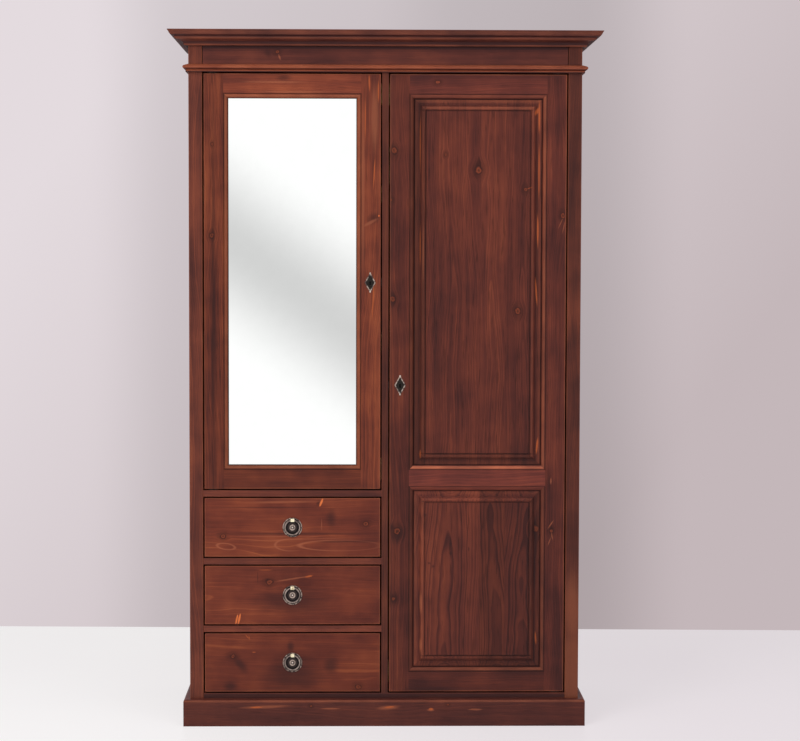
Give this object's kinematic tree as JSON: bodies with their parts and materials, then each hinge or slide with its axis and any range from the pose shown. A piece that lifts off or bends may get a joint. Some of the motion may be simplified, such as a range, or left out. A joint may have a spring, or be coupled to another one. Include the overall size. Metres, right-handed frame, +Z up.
{
  "type": "wardrobe with drawers",
  "caption": "Stained pine wardrobe: a mirror door above drawers with ring pulls on the left, a tall panelled door on the right, a moulded cornice and a plinth.",
  "frame": {"origin": "on the floor under the middle of the wardrobe's bounding box", "axes": "+Z up, +X to the right seen from the front, the front faces -Y"},
  "size_m": [1.2, 0.6, 1.94],
  "materials": {
    "carcass_pine": "satin",
    "mirror_door_pine": "satin",
    "panel_door_pine": "satin",
    "drawer_pine": "satin",
    "plain_pine": "matt",
    "backing_board": "matt",
    "mirror": "polished",
    "antique_brass": "antique",
    "lock_steel": "satin",
    "rail_steel": "satin"
  },
  "bodies": {
    "carcass": {"left_front_post": "carcass_pine", "right_front_post": "carcass_pine", "rear_posts": "carcass_pine", "left_side_rails": "carcass_pine", "right_side_rails": "carcass_pine", "left_side_panels": "carcass_pine", "right_side_panels": "carcass_pine", "top_panel": "plain_pine", "cornice_front": "carcass_pine", "cornice_returns": "carcass_pine", "frieze_rail": "carcass_pine", "astragal_front": "carcass_pine", "astragal_returns": "carcass_pine", "plinth_front": "carcass_pine", "plinth_returns": "carcass_pine", "plinth_rear_rail": "plain_pine", "bottom_panel": "carcass_pine", "centre_partition": "carcass_pine", "drawer_deck": "carcass_pine", "drawer_divider_rails": "carcass_pine", "drawer_runners": "plain_pine", "linen_shelves": "plain_pine", "hat_shelf": "plain_pine", "shelf_battens": "plain_pine", "hanging_rail": "rail_steel", "rail_flanges": "rail_steel", "back_panels": "plain_pine", "strike_plates": "lock_steel", "frame_pivot_plates": "lock_steel", "door_stops": "plain_pine"},
    "mirror_door": {"mirror_door_hinge_stile": "mirror_door_pine", "mirror_door_lock_stile": "mirror_door_pine", "mirror_door_rails": "mirror_door_pine", "mirror_glass": "mirror", "mirror_backing_board": "backing_board", "mirror_beads": "plain_pine", "mirror_door_lock": "lock_steel", "mirror_door_escutcheon": "antique_brass", "mirror_door_pivots": "lock_steel"},
    "mirror_bolt": {"mirror_door_bolt": "lock_steel"},
    "panel_door": {"panel_door_hinge_stile": "panel_door_pine", "panel_door_lock_stile": "panel_door_pine", "panel_door_rails": "panel_door_pine", "panel_door_panels": "panel_door_pine", "panel_door_lock": "lock_steel", "panel_door_escutcheon": "antique_brass", "panel_door_pivots": "lock_steel"},
    "panel_bolt": {"panel_door_bolt": "lock_steel"},
    "drawer_1": {"drawer_1_front": "drawer_pine", "drawer_1_box": "plain_pine", "drawer_1_rosette": "antique_brass"},
    "ring_1": {"drawer_1_ring": "antique_brass"},
    "drawer_2": {"drawer_2_front": "drawer_pine", "drawer_2_box": "plain_pine", "drawer_2_rosette": "antique_brass"},
    "ring_2": {"drawer_2_ring": "antique_brass"},
    "drawer_3": {"drawer_3_front": "drawer_pine", "drawer_3_box": "plain_pine", "drawer_3_rosette": "antique_brass"},
    "ring_3": {"drawer_3_ring": "antique_brass"}
  },
  "joints": [
    {"name": "mirror_door_hinge", "type": "hinge", "parent": "carcass", "child": "mirror_door", "pos_m": [-0.48, -0.235, 0.668], "axis": [0, 0, -1], "range_deg": [0, 110]},
    {"name": "panel_door_hinge", "type": "hinge", "parent": "carcass", "child": "panel_door", "pos_m": [0.48, -0.235, 0.095], "axis": [0, 0, 1], "range_deg": [0, 110]},
    {"name": "mirror_bolt_slide", "type": "slide", "parent": "mirror_door", "child": "mirror_bolt", "axis": [1, 0, 0], "range_m": [0, 0.01]},
    {"name": "panel_bolt_slide", "type": "slide", "parent": "panel_door", "child": "panel_bolt", "axis": [-1, 0, 0], "range_m": [0, 0.01]},
    {"name": "drawer_1_slide", "type": "slide", "parent": "carcass", "child": "drawer_1", "axis": [0, -1, 0], "range_m": [0, 0.36]},
    {"name": "ring_1_swing", "type": "hinge", "parent": "drawer_1", "child": "ring_1", "pos_m": [-0.2585, -0.2496, 0.58], "axis": [-1, 0, 0], "range_deg": [0, 95]},
    {"name": "drawer_2_slide", "type": "slide", "parent": "carcass", "child": "drawer_2", "axis": [0, -1, 0], "range_m": [0, 0.36]},
    {"name": "ring_2_swing", "type": "hinge", "parent": "drawer_2", "child": "ring_2", "pos_m": [-0.2585, -0.2496, 0.389], "axis": [-1, 0, 0], "range_deg": [0, 95]},
    {"name": "drawer_3_slide", "type": "slide", "parent": "carcass", "child": "drawer_3", "axis": [0, -1, 0], "range_m": [0, 0.36]},
    {"name": "ring_3_swing", "type": "hinge", "parent": "drawer_3", "child": "ring_3", "pos_m": [-0.2585, -0.2496, 0.198], "axis": [-1, 0, 0], "range_deg": [0, 95]}
  ]
}
